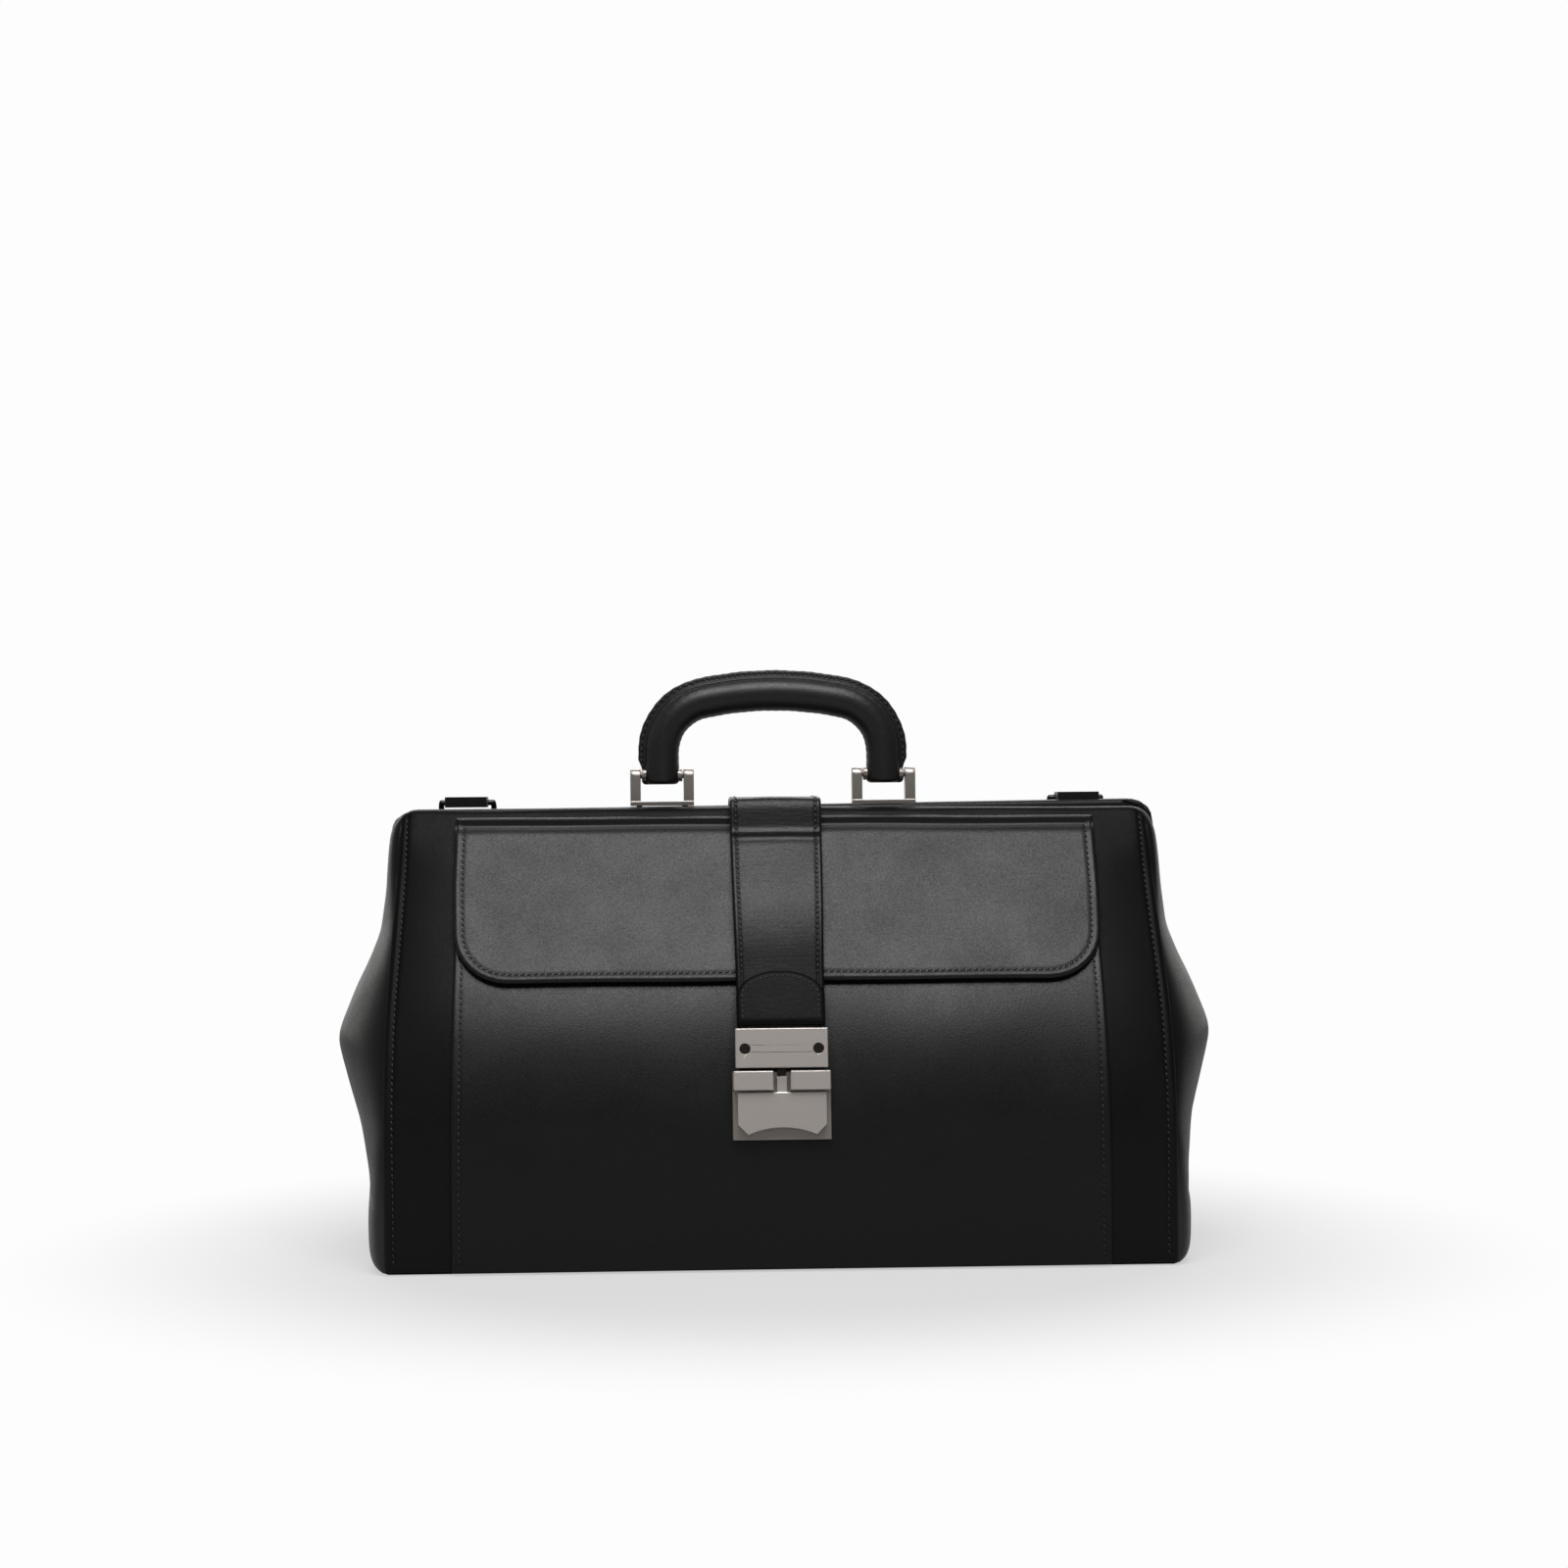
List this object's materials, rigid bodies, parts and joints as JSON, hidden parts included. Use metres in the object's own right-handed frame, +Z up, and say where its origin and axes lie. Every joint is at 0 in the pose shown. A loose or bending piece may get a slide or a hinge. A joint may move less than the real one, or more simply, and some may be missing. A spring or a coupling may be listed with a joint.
{
  "type": "doctor bag",
  "caption": "Structured leather doctor bag with a hinged steel-framed mouth, a front pocket under a flap, a closing strap with a slide lock, and a swinging rolled top handle.",
  "frame": {"origin": "middle of the flat bottom, on the surface the bag stands on", "axes": "+X along the bag's length to the viewer's right, -Y out of the front with the lock, +Z up towards the handle"},
  "size_m": [0.456, 0.1927, 0.3013],
  "materials": {
    "black_leather": "smooth black box leather with a soft satin sheen and painted edges",
    "lining_cloth": "dark plain woven lining",
    "handle_filler": "rolled felt core, out of sight inside the handle",
    "stiffener_board": "thin pressed board covered in dark cloth",
    "gunmetal": "satin warm gunmetal plating, finely brushed",
    "plain_steel": "plain bright steel, mostly hidden under leather"
  },
  "bodies": {
    "body": {"base_panel": "black_leather", "base_board": "stiffener_board", "front_wall": "black_leather", "rear_wall": "black_leather", "gusset_right": "black_leather", "gusset_left": "black_leather", "wall_lining": "lining_cloth", "pocket_front": "black_leather", "lock_plate": "gunmetal", "lock_blocks": "gunmetal", "lock_anchor": "plain_steel", "lock_rivets": "plain_steel"},
    "slide": {"lock_slide": "gunmetal"},
    "front_half": {"front_cover": "black_leather", "front_mouth_bar": "plain_steel", "flap_hinge_strip": "black_leather"},
    "flap": {"pocket_flap": "black_leather"},
    "rear_half": {"rear_cover": "black_leather", "rear_mouth_bar": "plain_steel", "mouth_hinge_pins": "plain_steel", "strap_rear": "black_leather", "handle_bracket_right": "gunmetal", "handle_bracket_left": "gunmetal", "bracket_screws": "plain_steel", "handle_pins": "gunmetal", "anchor_loop_right": "black_leather", "anchor_loop_left": "black_leather"},
    "handle": {"handle_grip": "black_leather", "handle_core": "handle_filler", "handle_eyelets": "gunmetal"},
    "strap": {"strap_front": "black_leather", "hasp_plate": "gunmetal", "hasp_screws": "gunmetal", "hasp_back_plate": "plain_steel"},
    "ring_right": {"ring_right": "gunmetal"},
    "ring_left": {"ring_left": "gunmetal"}
  },
  "joints": [
    {"name": "mouth_open", "type": "hinge", "parent": "body", "child": "front_half", "pos_m": [0, -0.034, 0.184], "axis": [1, 0, 0], "range_deg": [0, 36]},
    {"name": "rear_half_open", "type": "hinge", "parent": "body", "child": "rear_half", "pos_m": [0, 0.034, 0.184], "axis": [1, 0, 0], "range_deg": [-36, 0]},
    {"name": "strap_lift", "type": "hinge", "parent": "rear_half", "child": "strap", "pos_m": [0, -0.003, 0.2345], "axis": [1, 0, 0], "range_deg": [-115.2, 0]},
    {"name": "flap_lift", "type": "hinge", "parent": "front_half", "child": "flap", "pos_m": [0, -0.02255, 0.22295], "axis": [1, 0, 0], "range_deg": [-79.2, 0]},
    {"name": "handle_swing", "type": "hinge", "parent": "rear_half", "child": "handle", "pos_m": [0.0584, 0.0086, 0.2462], "axis": [1, 0, 0], "range_deg": [-85, 10]},
    {"name": "lock_slide_travel", "type": "slide", "parent": "body", "child": "slide", "axis": [0, -0.1712, -0.9852], "range_m": [0, 0.003], "stiffness_N_per_m": 250, "springref_m": -0.004},
    {"name": "ring_right_swing", "type": "hinge", "parent": "rear_half", "child": "ring_right", "pos_m": [0.1615, 0.019, 0.2326], "axis": [1, 0, 0], "range_deg": [0, 140]},
    {"name": "ring_left_swing", "type": "hinge", "parent": "rear_half", "child": "ring_left", "pos_m": [-0.1615, 0.019, 0.2326], "axis": [1, 0, 0], "range_deg": [0, 140]}
  ],
  "couplings": [
    {"joint": "rear_half_open", "follows": "mouth_open", "ratio": -1},
    {"joint": "strap_lift", "follows": "mouth_open", "ratio": -3.2},
    {"joint": "flap_lift", "follows": "mouth_open", "ratio": -2.2}
  ]
}
